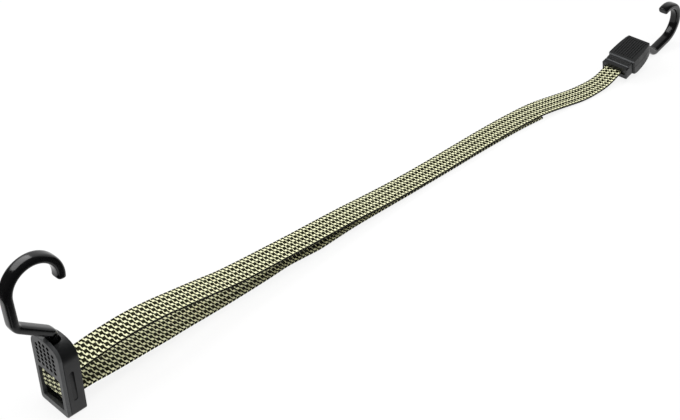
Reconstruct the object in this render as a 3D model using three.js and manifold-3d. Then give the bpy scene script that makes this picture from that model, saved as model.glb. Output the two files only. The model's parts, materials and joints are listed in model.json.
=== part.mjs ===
// Adjustable flat bungee strap: an elastic strap with a threaded adjuster and swivel hook at one end
// and a clamshell housing with a second swivel hook at the other.
// Millimetres, +Z up. The origin is the centre of the adjuster's foot, and +X runs along the strap.
import * as THREE from "three";
import { mergeVertices } from "three/addons/utils/BufferGeometryUtils.js";
import Module from "manifold-3d";

const wasm = await Module();
wasm.setup();

// Driving dimensions of the strap
const STRAP_WIDTH = 20;
const STRAP_THICK = 2.2;
const STRAP_EDGE_ROUND = 0.5;

// Clearances
const GAP = 0.3;
const STRAP_SIDE_CLEAR = 0.7;
const SWIVEL_CLEAR = 0.3;

// Driving dimensions of the hook, in its own plane: u runs along the shank, v across it
const NECK_RADIUS = 3.3;
const BAR_THICK = 5.8;
const BAR_WIDTH = 8.6;
const CORE_RADIUS = 1.8;
const LEG_RISE = 17.7;
const LEG_REACH = 22.7;
const CROOK_RADIUS = 17.35;
const CROOK_RISE = 38.4;
const CROOK_OFFSET = 6;
const CROOK_SWEEP_DEG = 190;
const TIP_EASE = 1.2;
const BAR_SQUARENESS = 3;
const NECK_FILLET = 5;
const ELBOW_FILLET = 7;
const ROD_SIDES = 16;
const CORE_SIDES = 8;
const ROD_STEP = 3.2;
const HEAD_RADIUS = 4;
const HEAD_THICK = 2;
const WASHER_RADIUS = 4.2;
const WASHER_THICK = 1;

// Driving dimensions of the adjuster
const ADJUSTER_WIDTH = 28;
const ADJUSTER_DEPTH = 13.8;
const BRIDGE_TOP = 41;
const BODY_HEIGHT = 51.5;
const BODY_SHOULDER = 41;
const FACEPLATE_HEIGHT = 54.5;
const FACEPLATE_THICK = 2.4;
const FACEPLATE_SHOULDER = 45;
const FOOT_BAR_HEIGHT = 5;
const FOOT_CORNER = 2.5;
const EDGE_BEVEL = 0.6;
const WEB_BOTTOM = 13.2;
const WEB_TOP = 26;
const WEB_FRONT = -3.4;
const WEB_THICK = 6.4;
const WEB_ROUND = 2;
const UPPER_SLOT_HEIGHT = 5;
const FACE_WINDOW_TOP = 29;
const HEAD_POCKET_WIDTH = 10;
const BRIDGE_THICK = 2.8;
const NECK_POCKET_WIDTH = 9.6;
const NECK_POCKET_BACK = 4.2;
const PEG_RADIUS = 1.5;
const PEG_LENGTH = 3;
const PEG_SPREAD = 19;
const PEG_HEIGHT = 36;
const GROOVE_WIDTH = 3.4;
const GROOVE_BOTTOM = 11.5;
const GROOVE_TOP = 34;
const GROOVE_TOP_DEPTH = 1.7;
const GROOVE_FOOT_DEPTH = 0.3;
const NEAR_NECK = 16;
const DIMPLE_RADIUS = 1.15;
const DIMPLE_DEPTH = 2;
const DIMPLE_COLUMN_PITCH = 4;
const DIMPLE_ROW_PITCH = 3.32;
const DIMPLES_IN_COLUMN = [5, 6, 6, 6, 5];
const DIMPLE_FIELD_BOTTOM = 33.6;

// Driving dimensions of the far housing, along its own axis from the collar's mouth
const COLLAR_FLANGE_WIDTH = 24.4;
const COLLAR_FLANGE_HEIGHT = 10.4;
const COLLAR_FLANGE_LENGTH = 4.6;
const COLLAR_STEP_WIDTH = 23.2;
const COLLAR_STEP_HEIGHT = 9.4;
const COLLAR_STEP_RISE = 3;
const COLLAR_NECK_WIDTH = 22.2;
const COLLAR_NECK_HEIGHT = 7.4;
const COLLAR_NECK_LENGTH = 5.4;
const COLLAR_LIP_LENGTH = 1.5;
const COLLAR_LIP_PROUD = 0.7;
const HOUSING_LENGTH = 29;
const HOUSING_WIDTH = 26;
const HOUSING_NOSE_WIDTH = 21;
const HOUSING_HEIGHT = 13;
const HOUSING_KEEL = 8.3;
const HOUSING_NOSE_KEEL = 4.7;
const HOUSING_WALL = 2;
const HOUSING_CORNER = 2;
const NOSE_RECESS = 6;
const NOSE_FLARE_LENGTH = 2.5;
const NOSE_FLARE_RADIUS = 5.8;
const PARTITION_THICK = 1;
const HEAD_POCKET_LENGTH = 4.4;
const NOSE_BRIDGE_THICK = 3;
const FAR_NECK = 6.4;
const ANCHOR_PIN_RADIUS = 1.6;
const ANCHOR_SETBACK = 5;
const ANCHOR_PIN_SOCKET = 1;
const GRIP_RIBS = 9;
const GRIP_RIB_DEPTH = 0.35;
const GRIP_BORDER = 2.2;
const HOUSING_TILT_DEG = 16;

// Strap routes: the centre line of each free stretch
const RUN_POINTS = [
  [10.2, 0, 27.4],
  [20, 0, 28.4],
  [36, 0, 29.8],
  [55, 0, 30],
  [72, 0, 28.6],
  [92, 0, 25.5],
  [112, 0, 22.2],
  [132, 0, 18.6],
  [152, 0, 16.5],
  [175, 0, 14.6],
  [200, 0, 12.6],
  [225, 0, 11],
  [250, 0, 9.2],
  [275, -0.2, 7],
  [300, -0.5, 5.3],
  [325, -0.9, 4.4],
  [350, -1.3, 4.1],
  [380, -1.8, 4],
  [410, -2.4, 4],
  [440, -3.8, 4],
  [467, -6.4, 4],
  [482, -8.6, 3.2],
  [498, -11.6, 2.2],
  [515, -15.2, 1.6],
  [530, -17.8, 2.1],
  [542, -19.4, 3.2],
  [551.2, -20, 5.12],
  [562, -20, 8.22],
];
const TAIL_POINTS = [
  [10.2, 0, 11.8],
  [18, 0, 11.6],
  [30, 0, 10.6],
  [45, 0.6, 9.2],
  [60, 1.6, 7.6],
  [75, 2.4, 6],
  [92, 3.8, 4.2],
  [112, 4.8, 2.4],
  [135, 5.2, 1.4],
  [165, 5.2, 1.3],
  [185, 5.6, 1.3],
  [200, 4.4, 1.3],
  [214, 3, 1.3],
  [230, 3.2, 1.3],
  [250, 3.4, 1.3],
  [280, 2.4, 1.3],
  [310, 1.2, 1.3],
  [350, 0, 1.3],
  [400, -1.4, 1.3],
  [440, -3.6, 1.3],
  [466, -6.2, 1.3],
];
const RUN_STEPS = 46;
const TAIL_STEPS = 36;

// Round faces
const ROUND_SIDES = 24;
const FINE_SIDES = 8;
const DIMPLE_SIDES = 12;

// Worked-out places on the adjuster
const HALF_DEPTH = ADJUSTER_DEPTH / 2;
const HALF_WIDTH = ADJUSTER_WIDTH / 2;
const FACE_BACK = -HALF_DEPTH + FACEPLATE_THICK;
const BODY_FRONT = FACE_BACK + GAP;
const WINDOW_WIDTH = STRAP_WIDTH + 2 * STRAP_SIDE_CLEAR;
const UPPER_SLOT_TOP = WEB_TOP + UPPER_SLOT_HEIGHT;
const POCKET_TOP = BRIDGE_TOP - BRIDGE_THICK;
const POCKET_BOTTOM = POCKET_TOP - GAP - WASHER_THICK - GAP - HEAD_THICK - GAP;
const NECK_BOTTOM_Z = BRIDGE_TOP + GAP;
const NEAR_BEND_Z = NECK_BOTTOM_Z + NEAR_NECK;
const LOOP_END_X = HALF_DEPTH + 3;

// Worked-out places along the far housing
const HOUSING_START = COLLAR_FLANGE_LENGTH + COLLAR_NECK_LENGTH;
const HOUSING_END = HOUSING_START + HOUSING_LENGTH;
const CAVITY_START = HOUSING_START + HOUSING_WALL;
const NOSE_BRIDGE_END = HOUSING_END - NOSE_RECESS;
const NOSE_BRIDGE_START = NOSE_BRIDGE_END - NOSE_BRIDGE_THICK;
const HEAD_POCKET_START = NOSE_BRIDGE_START - HEAD_POCKET_LENGTH;
const CAVITY_END = HEAD_POCKET_START - PARTITION_THICK;
const CAVITY_WIDTH = STRAP_WIDTH + 2 * GAP;
const CAVITY_HEIGHT = HOUSING_HEIGHT - 2 * HOUSING_WALL;
const ANCHOR_X = CAVITY_END - ANCHOR_SETBACK;
const FAR_BEND = NOSE_BRIDGE_END + GAP + FAR_NECK;
const HOUSING_TILT = THREE.MathUtils.degToRad(HOUSING_TILT_DEG);

// Solids: closed meshes that can be joined and cut
function solid(geometry) {
  const bare = geometry.index ? geometry.toNonIndexed() : geometry.clone();
  bare.deleteAttribute("normal");
  bare.deleteAttribute("uv");
  const merged = mergeVertices(bare, 1e-4);
  return new wasm.Manifold(
    new wasm.Mesh({
      numProp: 3,
      vertProperties: new Float32Array(merged.attributes.position.array),
      triVerts: new Uint32Array(merged.index.array),
    }),
  );
}

function geometryOf(manifold) {
  const mesh = manifold.getMesh();
  const geometry = new THREE.BufferGeometry();
  const places = new Float32Array(mesh.numVert * 3);
  for (let i = 0; i < mesh.numVert; i++) {
    places.set(mesh.vertProperties.subarray(i * mesh.numProp, i * mesh.numProp + 3), 3 * i);
  }
  geometry.setAttribute("position", new THREE.BufferAttribute(places, 3));
  geometry.setIndex(new THREE.BufferAttribute(new Uint32Array(mesh.triVerts), 1));
  geometry.computeVertexNormals();
  return geometry;
}

// A box between two corners
function box(low, high) {
  const size = high.map((value, i) => value - low[i]);
  const geometry = new THREE.BoxGeometry(...size);
  geometry.translate(...low.map((value, i) => value + size[i] / 2));
  return solid(geometry);
}

// A cylinder of the given radius from one point to another, or a cone where its end has another radius
function rod(start, end, radius, sides = ROUND_SIDES, endRadius = radius) {
  const from = new THREE.Vector3(...start);
  const along = new THREE.Vector3(...end).sub(from);
  const geometry = new THREE.CylinderGeometry(endRadius, radius, along.length(), sides);
  const turn = new THREE.Quaternion().setFromUnitVectors(
    new THREE.Vector3(0, 1, 0),
    along.clone().normalize(),
  );
  geometry.applyQuaternion(turn);
  geometry.translate(...from.addScaledVector(along, 0.5).toArray());
  return solid(geometry);
}

// A plane outline pushed along the axis that it doesn't span: "yz" along X, "xz" along Y, "xy" along Z
const BASES = {
  yz: [new THREE.Vector3(0, 1, 0), new THREE.Vector3(0, 0, 1), new THREE.Vector3(1, 0, 0)],
  xz: [new THREE.Vector3(1, 0, 0), new THREE.Vector3(0, 0, 1), new THREE.Vector3(0, -1, 0)],
  xy: [new THREE.Vector3(1, 0, 0), new THREE.Vector3(0, 1, 0), new THREE.Vector3(0, 0, 1)],
};
function slab(shape, plane, from, to, bevel = 0) {
  const thick = to - from;
  const geometry = new THREE.ExtrudeGeometry(shape, {
    depth: thick - 2 * bevel,
    curveSegments: 9,
    bevelEnabled: bevel > 0,
    bevelThickness: bevel,
    bevelSize: bevel,
    bevelOffset: -bevel,
    bevelSegments: 2,
  });
  geometry.translate(0, 0, bevel);
  geometry.applyMatrix4(new THREE.Matrix4().makeBasis(...BASES[plane]));
  const push = BASES[plane][2].clone().multiplyScalar(plane === "xz" ? -to : from);
  geometry.translate(...push.toArray());
  return solid(geometry);
}

// An outline of straight runs with its corners rounded to the given radii
function roundedOutline(corners) {
  const shape = new THREE.Shape();
  const count = corners.length;
  for (let i = 0; i < count; i++) {
    const [x, y, radius = 0] = corners[i];
    const here = new THREE.Vector2(x, y);
    const last = new THREE.Vector2(...corners[(i + count - 1) % count].slice(0, 2)).sub(here);
    const next = new THREE.Vector2(...corners[(i + 1) % count].slice(0, 2)).sub(here);
    const enter = here.clone().addScaledVector(last.normalize(), radius);
    const leave = here.clone().addScaledVector(next.normalize(), radius);
    if (i === 0) {
      shape.moveTo(enter.x, enter.y);
    } else {
      shape.lineTo(enter.x, enter.y);
    }
    if (radius > 0) {
      shape.quadraticCurveTo(x, y, leave.x, leave.y);
    }
  }
  shape.closePath();
  return shape;
}

function roundedRectangle(width, height, radius, centreX = 0, centreY = 0) {
  const right = centreX + width / 2;
  const left = centreX - width / 2;
  const top = centreY + height / 2;
  const bottom = centreY - height / 2;
  return roundedOutline([
    [left, bottom, radius],
    [right, bottom, radius],
    [right, top, radius],
    [left, top, radius],
  ]);
}

// Materials
function plastic(colour) {
  return new THREE.MeshStandardMaterial({ color: colour, roughness: 0.42, metalness: 0 });
}
function steel() {
  return new THREE.MeshStandardMaterial({ color: 0x9a9c9e, roughness: 0.35, metalness: 1 });
}
function webbing() {
  return new THREE.MeshStandardMaterial({ color: 0x8f8f62, roughness: 0.9, metalness: 0 });
}

const MOULDED_BLACK = 0x1c1c1d;
const object = new THREE.Group();
function place(parent, name, manifold, material) {
  const mesh = new THREE.Mesh(geometryOf(manifold), material);
  mesh.name = name;
  parent.add(mesh);
  return mesh;
}

// The adjuster's arched front outline: upright sides to the shoulder, then a curve over to the crest
function archOutline(shoulder, crest) {
  const rise = crest - shoulder;
  const bend = HALF_WIDTH - 0.5 * rise;
  const outline = new THREE.Shape();
  outline.moveTo(-HALF_WIDTH + FOOT_CORNER, 0);
  outline.lineTo(HALF_WIDTH - FOOT_CORNER, 0);
  outline.quadraticCurveTo(HALF_WIDTH, 0, HALF_WIDTH, FOOT_CORNER);
  outline.lineTo(HALF_WIDTH, shoulder);
  outline.bezierCurveTo(HALF_WIDTH, shoulder + 0.7 * rise, bend, crest, 0, crest);
  outline.bezierCurveTo(-bend, crest, -HALF_WIDTH, shoulder + 0.7 * rise, -HALF_WIDTH, shoulder);
  outline.lineTo(-HALF_WIDTH, FOOT_CORNER);
  outline.quadraticCurveTo(-HALF_WIDTH, 0, -HALF_WIDTH + FOOT_CORNER, 0);
  return outline;
}

// Adjuster body: side walls, foot bar, centre web, hook bridge and shoulders in one moulding. Its edges are eased
// at the back and square at the front, where the faceplate meets it
function adjusterBody() {
  const outline = archOutline(BODY_SHOULDER, BODY_HEIGHT);
  let body = slab(outline, "yz", BODY_FRONT - 2 * EDGE_BEVEL, HALF_DEPTH, EDGE_BEVEL);
  body = body.trimByPlane([1, 0, 0], BODY_FRONT);
  const halfWindow = WINDOW_WIDTH / 2;
  const window = box(
    [-ADJUSTER_DEPTH, -halfWindow, FOOT_BAR_HEIGHT],
    [ADJUSTER_DEPTH, halfWindow, UPPER_SLOT_TOP],
  );
  body = body.subtract(window);
  body = body.add(centreWeb());
  const headPocket = box(
    [-ADJUSTER_DEPTH, -HEAD_POCKET_WIDTH / 2, POCKET_BOTTOM],
    [HEAD_POCKET_WIDTH / 2, HEAD_POCKET_WIDTH / 2, POCKET_TOP],
  );
  body = body.subtract(headPocket).subtract(neckPocket());
  const bore = rod([0, 0, POCKET_TOP - 1], [0, 0, BRIDGE_TOP + 1], CORE_RADIUS + SWIVEL_CLEAR);
  body = body.subtract(bore);
  for (const side of [-1, 1]) {
    body = body.subtract(sideGroove(side));
    const y = (side * PEG_SPREAD) / 2;
    const socket = rod(
      [BODY_FRONT - 1, y, PEG_HEIGHT],
      [FACE_BACK + PEG_LENGTH + GAP, y, PEG_HEIGHT],
      PEG_RADIUS + GAP,
      FINE_SIDES,
    );
    body = body.subtract(socket);
  }
  return body;
}

// The web that the strap is threaded round, keyed into both side walls
function centreWeb() {
  const section = roundedRectangle(
    WEB_THICK,
    WEB_TOP - WEB_BOTTOM,
    WEB_ROUND,
    WEB_FRONT + WEB_THICK / 2,
    (WEB_TOP + WEB_BOTTOM) / 2,
  );
  const halfLength = (WINDOW_WIDTH / 2 + HALF_WIDTH) / 2;
  return slab(section, "xz", -halfLength, halfLength);
}

// The pocket between the shoulders where the hook's neck stands, open above and towards the faceplate
function neckPocket() {
  const depth = ADJUSTER_DEPTH + NECK_POCKET_BACK;
  const middle = NECK_POCKET_BACK - depth / 2;
  const outline = roundedRectangle(depth, NECK_POCKET_WIDTH, NECK_POCKET_BACK, middle, 0);
  return slab(outline, "xy", BRIDGE_TOP, BODY_HEIGHT + 1);
}

// The long recess down each side wall, deepest at its top and fading out towards the foot
function sideGroove(side) {
  const length = GROOVE_TOP - GROOVE_BOTTOM;
  const depth = (GROOVE_TOP_DEPTH + GROOVE_FOOT_DEPTH) / 2;
  const slope = Math.atan2(GROOVE_TOP_DEPTH - GROOVE_FOOT_DEPTH, length);
  const outline = roundedRectangle(GROOVE_WIDTH, length, GROOVE_WIDTH / 2);
  const reach = 3 * GROOVE_TOP_DEPTH;
  const cutter = slab(outline, "xz", side > 0 ? 0 : -reach, side > 0 ? reach : 0);
  return cutter
    .rotate([side * THREE.MathUtils.radToDeg(slope), 0, 0])
    .translate([0, side * (HALF_WIDTH - depth), (GROOVE_TOP + GROOVE_BOTTOM) / 2]);
}

// Faceplate: arched front plate with the strap window, thumb dimples and two snap pegs
function faceplate() {
  const outline = archOutline(FACEPLATE_SHOULDER, FACEPLATE_HEIGHT);
  let plate = slab(outline, "yz", -HALF_DEPTH, FACE_BACK + 2 * EDGE_BEVEL, EDGE_BEVEL);
  plate = plate.trimByPlane([-1, 0, 0], -FACE_BACK);
  const windowHeight = FACE_WINDOW_TOP - FOOT_BAR_HEIGHT;
  const windowMiddle = (FACE_WINDOW_TOP + FOOT_BAR_HEIGHT) / 2;
  const window = roundedRectangle(WINDOW_WIDTH, windowHeight, 1, 0, windowMiddle);
  plate = plate.subtract(slab(window, "yz", -ADJUSTER_DEPTH, 0));
  for (const side of [-1, 1]) {
    const y = (side * PEG_SPREAD) / 2;
    const peg = rod(
      [FACE_BACK - 1, y, PEG_HEIGHT],
      [FACE_BACK + PEG_LENGTH, y, PEG_HEIGHT],
      PEG_RADIUS,
      FINE_SIDES,
    );
    plate = plate.add(peg);
  }
  for (const [y, z] of dimplePlaces()) {
    const dimple = rod(
      [-HALF_DEPTH - 1, y, z],
      [-HALF_DEPTH + DIMPLE_DEPTH, y, z],
      DIMPLE_RADIUS,
      DIMPLE_SIDES,
    );
    plate = plate.subtract(dimple);
  }
  return plate;
}

// Dimples in straight rows and columns, one row shorter in the outer columns, under the arch
function dimplePlaces() {
  const places = [];
  DIMPLES_IN_COLUMN.forEach((count, column) => {
    const y = (column - (DIMPLES_IN_COLUMN.length - 1) / 2) * DIMPLE_COLUMN_PITCH;
    for (let i = 0; i < count; i++) {
      places.push([y, DIMPLE_FIELD_BOTTOM + i * DIMPLE_ROW_PITCH]);
    }
  });
  return places;
}

// The hook's centre line in its plane, as [u, v] pairs from the foot of its neck to its tip
function hookLine(neck) {
  const bend = new THREE.Vector2(0, 0);
  const elbow = new THREE.Vector2(LEG_RISE, -LEG_REACH);
  const centre = new THREE.Vector2(CROOK_RISE, -CROOK_OFFSET);
  const toCentre = centre.clone().sub(elbow);
  const heading = toCentre.angle() - Math.asin(CROOK_RADIUS / toCentre.length());
  const tangent = Math.sqrt(toCentre.lengthSq() - CROOK_RADIUS ** 2);
  const touch = elbow.clone().add(new THREE.Vector2(tangent, 0).rotateAround(new THREE.Vector2(), heading));
  const points = [new THREE.Vector2(-neck, 0)];
  pushFillet(points, points[0], bend, elbow, NECK_FILLET);
  pushFillet(points, bend, elbow, touch, ELBOW_FILLET);
  const start = touch.clone().sub(centre).angle();
  const sweep = THREE.MathUtils.degToRad(CROOK_SWEEP_DEG);
  const arcSteps = Math.ceil((sweep * CROOK_RADIUS) / ROD_STEP);
  for (let i = 0; i <= arcSteps; i++) {
    const angle = start + (sweep * i) / arcSteps;
    points.push(
      new THREE.Vector2(
        centre.x + CROOK_RADIUS * Math.cos(angle),
        centre.y + CROOK_RADIUS * Math.sin(angle),
      ),
    );
  }
  return points;
}

// A rounded corner between two straight runs, as a short arc of points
function pushFillet(points, before, corner, after, radius) {
  const back = before.clone().sub(corner).normalize();
  const on = after.clone().sub(corner).normalize();
  const half = Math.acos(THREE.MathUtils.clamp(back.dot(on), -1, 1)) / 2;
  const setback = radius / Math.tan(half);
  const middle = back.clone().add(on).normalize().multiplyScalar(radius / Math.sin(half)).add(corner);
  const first = corner.clone().addScaledVector(back, setback).sub(middle);
  const last = corner.clone().addScaledVector(on, setback).sub(middle);
  let turn = last.angle() - first.angle();
  turn = Math.atan2(Math.sin(turn), Math.cos(turn));
  const steps = Math.max(3, Math.ceil((Math.abs(turn) * radius) / (ROD_STEP / 2)));
  for (let i = 0; i <= steps; i++) {
    points.push(first.clone().rotateAround(new THREE.Vector2(), (turn * i) / steps).add(middle));
  }
}

// A path through given points whose section frame stays level across the path
class LevelPath extends THREE.CatmullRomCurve3 {
  computeFrenetFrames(segments) {
    const frames = { tangents: [], normals: [], binormals: [] };
    const up = new THREE.Vector3(0, 0, 1);
    for (let i = 0; i <= segments; i++) {
      const tangent = this.getTangentAt(i / segments);
      const across = new THREE.Vector3().crossVectors(up, tangent).normalize();
      frames.tangents.push(tangent);
      frames.normals.push(across);
      frames.binormals.push(new THREE.Vector3().crossVectors(tangent, across));
    }
    return frames;
  }
}

// Sections of a hook: half thickness in its plane, half width across it, and the power that squares its corners
const round = (radius) => ({ thick: radius, wide: radius, power: 1 });
const NECK = round(NECK_RADIUS);
const BAR = { thick: BAR_THICK / 2, wide: BAR_WIDTH / 2, power: 2 / BAR_SQUARENESS };

// A section swept along a hook line; its plane is X and Z, with u up and v along X. The neck has its own section,
// and the tip can be eased to a smaller end
function sweptRod(line, neck, section, sides, tipEase = 0) {
  const rings = line.map((point, i) => {
    const before = line[Math.max(i - 1, 0)];
    const after = line[Math.min(i + 1, line.length - 1)];
    const along = new THREE.Vector2().subVectors(after, before).normalize();
    return {
      place: new THREE.Vector3(point.y, 0, point.x),
      along: new THREE.Vector3(along.y, 0, along.x),
      across: new THREE.Vector3(along.x, 0, -along.y),
      ...(i < 2 ? neck : section),
    };
  });
  if (tipEase > 0) {
    const last = rings[rings.length - 1];
    for (const turn of [Math.PI / 4, Math.PI / 2]) {
      const shrink = tipEase * (1 - Math.cos(turn));
      rings.push({
        ...last,
        place: last.place.clone().addScaledVector(last.along, tipEase * Math.sin(turn)),
        thick: last.thick - shrink,
        wide: last.wide - shrink,
      });
    }
  }
  return solid(tubeOf(rings, sides));
}

// A closed tube through rings that share one plane: each ring is spanned by its across vector and Y
function tubeOf(rings, sides) {
  const places = [];
  const faces = [];
  const bulge = (part, power) => Math.sign(part) * Math.abs(part) ** power;
  for (const { place: centre, across, thick, wide, power } of rings) {
    for (let k = 0; k < sides; k++) {
      const angle = (2 * Math.PI * (k + 0.5)) / sides;
      const out = across.clone().multiplyScalar(thick * bulge(Math.cos(angle), power));
      out.y += wide * bulge(Math.sin(angle), power);
      places.push(...out.add(centre).toArray());
    }
  }
  const ringCount = rings.length;
  for (let i = 0; i + 1 < ringCount; i++) {
    for (let k = 0; k < sides; k++) {
      const a = i * sides + k;
      const b = i * sides + ((k + 1) % sides);
      faces.push(a, b, a + sides, b, b + sides, a + sides);
    }
  }
  const end = (ringCount - 1) * sides;
  for (let k = 1; k + 1 < sides; k++) {
    faces.push(0, k + 1, k, end, end + k, end + k + 1);
  }
  const geometry = new THREE.BufferGeometry();
  geometry.setAttribute("position", new THREE.Float32BufferAttribute(places, 3));
  geometry.setIndex(faces);
  return geometry;
}

// One swivel hook: moulded coat, steel core with its upset head, and the washer under the bridge
function swivelHook(name, neck, bridge) {
  const group = new THREE.Group();
  const coat = sweptRod(hookLine(neck), NECK, BAR, ROD_SIDES, TIP_EASE);
  const stem = bridge + WASHER_THICK + 4 * GAP;
  const coreLine = hookLine(neck + stem).slice(0, -1);
  const wire = round(CORE_RADIUS);
  const wireHole = round(CORE_RADIUS + GAP / 2);
  const bore = sweptRod(hookLine(neck + 1), wireHole, wireHole, CORE_SIDES);
  const core = sweptRod(coreLine, wire, wire, CORE_SIDES);
  const headTop = -neck - stem;
  const head = rod([0, 0, headTop - HEAD_THICK], [0, 0, headTop + 0.01], HEAD_RADIUS);
  const washerTop = -neck - GAP - bridge - GAP;
  const washer = rod([0, 0, washerTop - WASHER_THICK], [0, 0, washerTop], WASHER_RADIUS).subtract(
    rod([0, 0, washerTop - 2 * WASHER_THICK], [0, 0, washerTop + 1], CORE_RADIUS + SWIVEL_CLEAR),
  );
  place(group, `${name}_hook_coat`, coat.subtract(bore), plastic(MOULDED_BLACK));
  place(group, `${name}_hook_core`, core.add(head), steel());
  place(group, `${name}_hook_washer`, washer, steel());
  return group;
}

// The strap's section: a flat band with its edges eased
function strapSection() {
  return roundedRectangle(STRAP_WIDTH, STRAP_THICK, STRAP_EDGE_ROUND);
}

// One free stretch of strap along its route
function strapStretch(points, steps) {
  const path = new LevelPath(points.map((point) => new THREE.Vector3(...point)));
  return solid(
    new THREE.ExtrudeGeometry(strapSection(), { steps, curveSegments: 1, extrudePath: path }),
  );
}

// The turn of strap round the adjuster's web, from its side outline
function strapLoop() {
  const inner = GAP;
  const outer = GAP + STRAP_THICK;
  const front = WEB_FRONT;
  const shape = roundedOutline([
    [LOOP_END_X, WEB_TOP + inner],
    [LOOP_END_X, WEB_TOP + outer],
    [front - outer, WEB_TOP + outer, WEB_ROUND + outer],
    [front - outer, WEB_BOTTOM - outer, WEB_ROUND + outer],
    [LOOP_END_X, WEB_BOTTOM - outer],
    [LOOP_END_X, WEB_BOTTOM - inner],
    [front - inner, WEB_BOTTOM - inner, WEB_ROUND],
    [front - inner, WEB_TOP + inner, WEB_ROUND],
  ]);
  return slab(shape, "xz", -STRAP_WIDTH / 2, STRAP_WIDTH / 2);
}

// The end of the strap inside the far housing: in through the collar, over the anchor pin and back under it
function strapEnd() {
  const half = STRAP_THICK / 2;
  const inner = ANCHOR_PIN_RADIUS + GAP;
  const outer = inner + STRAP_THICK;
  const ramp = ANCHOR_X - 6;
  const tuck = ANCHOR_X - 4;
  const shape = new THREE.Shape();
  shape.moveTo(0, -half);
  shape.lineTo(ramp, -half);
  shape.lineTo(ANCHOR_X, inner);
  shape.absarc(ANCHOR_X, 0, inner, Math.PI / 2, -Math.PI / 2, true);
  shape.lineTo(tuck, -inner);
  shape.lineTo(tuck, -outer);
  shape.lineTo(ANCHOR_X, -outer);
  shape.absarc(ANCHOR_X, 0, outer, -Math.PI / 2, Math.PI / 2, false);
  shape.lineTo(ramp, half);
  shape.lineTo(0, half);
  shape.closePath();
  return slab(shape, "xz", -STRAP_WIDTH / 2, STRAP_WIDTH / 2);
}

// The collar at the strap's entry: a flange, a step that rises towards the housing, a neck through the housing's
// mouth and an inner lip
function strapCollar() {
  const step = (width, height, from, to) =>
    slab(roundedRectangle(width, height, 1.2), "yz", from, to);
  const neckEnd = HOUSING_START + HOUSING_WALL + GAP;
  const flange = step(COLLAR_FLANGE_WIDTH, COLLAR_FLANGE_HEIGHT, 0, COLLAR_FLANGE_LENGTH);
  const stepEnd = HOUSING_START - GAP;
  const low = COLLAR_STEP_HEIGHT / 2;
  const high = low + COLLAR_STEP_RISE / 2;
  const ramp = roundedOutline([
    [COLLAR_FLANGE_LENGTH - 1, -low],
    [stepEnd, -high],
    [stepEnd, high],
    [COLLAR_FLANGE_LENGTH - 1, low],
  ]);
  const shoulder = slab(ramp, "xz", -COLLAR_STEP_WIDTH / 2, COLLAR_STEP_WIDTH / 2).intersect(
    step(COLLAR_STEP_WIDTH, 2 * high, 0, stepEnd),
  );
  const neck = step(COLLAR_NECK_WIDTH, COLLAR_NECK_HEIGHT, 0, neckEnd);
  const lip = step(
    CAVITY_WIDTH - 2 * GAP + 2 * COLLAR_LIP_PROUD,
    COLLAR_NECK_HEIGHT + 2 * COLLAR_LIP_PROUD,
    neckEnd,
    neckEnd + COLLAR_LIP_LENGTH,
  );
  const slot = box(
    [-1, -STRAP_WIDTH / 2 - GAP, -STRAP_THICK / 2 - GAP],
    [neckEnd + COLLAR_LIP_LENGTH + 1, STRAP_WIDTH / 2 + GAP, STRAP_THICK / 2 + GAP],
  );
  return flange.add(shoulder).add(neck).add(lip).subtract(slot);
}

// The far housing as one block, before it is parted into two covers
function housingBlock() {
  const half = HOUSING_WIDTH / 2;
  const nose = HOUSING_NOSE_WIDTH / 2;
  const plan = new THREE.Shape();
  plan.moveTo(HOUSING_START, -half + HOUSING_CORNER);
  plan.quadraticCurveTo(HOUSING_START, -half, HOUSING_START + HOUSING_CORNER, -half);
  const bow = HOUSING_START + 0.75 * HOUSING_LENGTH;
  plan.quadraticCurveTo(bow, -half, HOUSING_END - 1, -nose);
  plan.lineTo(HOUSING_END, -nose + 1);
  plan.lineTo(HOUSING_END, nose - 1);
  plan.lineTo(HOUSING_END - 1, nose);
  plan.quadraticCurveTo(bow, half, HOUSING_START + HOUSING_CORNER, half);
  plan.quadraticCurveTo(HOUSING_START, half, HOUSING_START, half - HOUSING_CORNER);
  plan.closePath();
  const top = HOUSING_HEIGHT / 2;
  const deepest = HOUSING_START + 0.25 * HOUSING_LENGTH;
  const side = new THREE.Shape();
  side.moveTo(HOUSING_START, -top);
  side.quadraticCurveTo(HOUSING_START + 0.1 * HOUSING_LENGTH, -HOUSING_KEEL, deepest, -HOUSING_KEEL);
  side.quadraticCurveTo(bow, -HOUSING_KEEL, HOUSING_END, -HOUSING_NOSE_KEEL);
  side.lineTo(HOUSING_END, top - 1);
  side.lineTo(HOUSING_END - 1, top);
  side.lineTo(HOUSING_START + 1, top);
  side.lineTo(HOUSING_START, top - 1);
  side.closePath();
  return slab(plan, "xy", -HOUSING_HEIGHT, HOUSING_HEIGHT).intersect(
    slab(side, "xz", -HOUSING_WIDTH, HOUSING_WIDTH),
  );
}

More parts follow.
